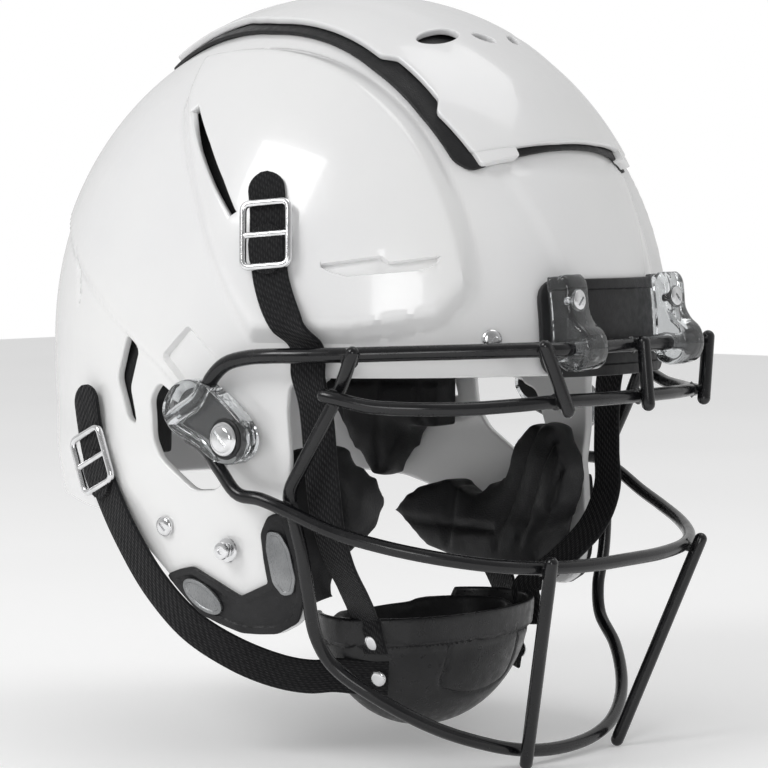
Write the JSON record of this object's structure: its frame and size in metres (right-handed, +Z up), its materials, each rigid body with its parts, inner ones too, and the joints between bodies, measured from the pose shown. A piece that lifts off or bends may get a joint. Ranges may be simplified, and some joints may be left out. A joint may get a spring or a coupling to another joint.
{
  "type": "football helmet",
  "caption": "Hard shell helmet with a hinged wire face mask, clear mask clips, chin straps with a hard chin cup, and liner pads.",
  "frame": {"origin": "centre of the wearer's head, on the middle plane and level with the shell's brow edge", "axes": "-Y out of the face, +Z up, -X towards the wearer's right"},
  "size_m": [0.2616, 0.3083, 0.326],
  "materials": {
    "shell": "gloss painted polycarbonate",
    "trim": "satin black moulding",
    "wire": "gloss vinyl coat on steel wire",
    "clip": "clear moulded plastic",
    "hardware": "bright plated steel",
    "webbing": "tight woven nylon",
    "cup": "satin hard plastic",
    "liner": "smooth moulded pad skin",
    "badge": "plain silver disc"
  },
  "bodies": {
    "helmet": {"shell": "shell", "crown_spacer": "trim", "crown_plate": "shell", "front_bumper": "trim", "rear_bumper": "trim", "jaw_trim_right": "trim", "jaw_trim_left": "trim", "oval_badge_right": "badge", "oval_badge_left": "badge", "front_clip_right": "clip", "front_clip_left": "clip", "front_clip_screw_right": "hardware", "front_clip_screw_left": "hardware", "jaw_snap_stud_right": "hardware", "jaw_snap_stud_left": "hardware", "jaw_screw_right": "hardware", "jaw_screw_left": "hardware", "brow_screw_right": "hardware", "brow_screw_left": "hardware", "upper_strap_right": "webbing", "upper_strap_left": "webbing", "lower_strap_right": "webbing", "lower_strap_left": "webbing", "upper_buckle_right": "hardware", "upper_buckle_left": "hardware", "lower_buckle_right": "hardware", "lower_buckle_left": "hardware", "front_pad": "liner", "crown_pad": "liner", "back_pad": "liner", "nape_pad": "liner", "side_pad_right": "liner", "side_pad_left": "liner", "ear_pad_right": "liner", "ear_pad_left": "liner", "jaw_pad_right": "liner", "jaw_pad_left": "liner"},
    "face_mask": {"mask_top_rail": "wire", "mask_lower_rail": "wire", "mask_brow_bar": "wire", "mask_oral_loop": "wire", "mask_centre_bar": "wire", "mask_brow_upright_right": "wire", "mask_brow_upright_left": "wire", "mask_lower_upright_right": "wire", "mask_lower_upright_left": "wire", "side_clip_right": "clip", "side_clip_left": "clip"},
    "right_release_screw": {"side_clip_screw_right": "hardware"},
    "left_release_screw": {"side_clip_screw_left": "hardware"},
    "chin_cup_unit": {"chin_cup": "cup", "chin_pad": "liner"}
  },
  "joints": [
    {"name": "mask_hinge", "type": "hinge", "parent": "helmet", "child": "face_mask", "pos_m": [0, -0.134, 0.003], "axis": [-1, 0, 0], "range_deg": [0, 80]},
    {"name": "right_release_turn", "type": "hinge", "parent": "face_mask", "child": "right_release_screw", "pos_m": [-0.1282, -0.024, -0.0335], "axis": [-1, 0, 0], "range_deg": [0, 90]},
    {"name": "left_release_turn", "type": "hinge", "parent": "face_mask", "child": "left_release_screw", "pos_m": [0.1282, -0.024, -0.0335], "axis": [1, 0, 0], "range_deg": [0, 90]},
    {"name": "chin_cup_tilt", "type": "hinge", "parent": "helmet", "child": "chin_cup_unit", "pos_m": [0, -0.03, -0.118], "axis": [1, 0, 0], "range_deg": [-12, 12], "deforming": ["upper_strap_right", "upper_strap_left", "lower_strap_right", "lower_strap_left"]}
  ]
}
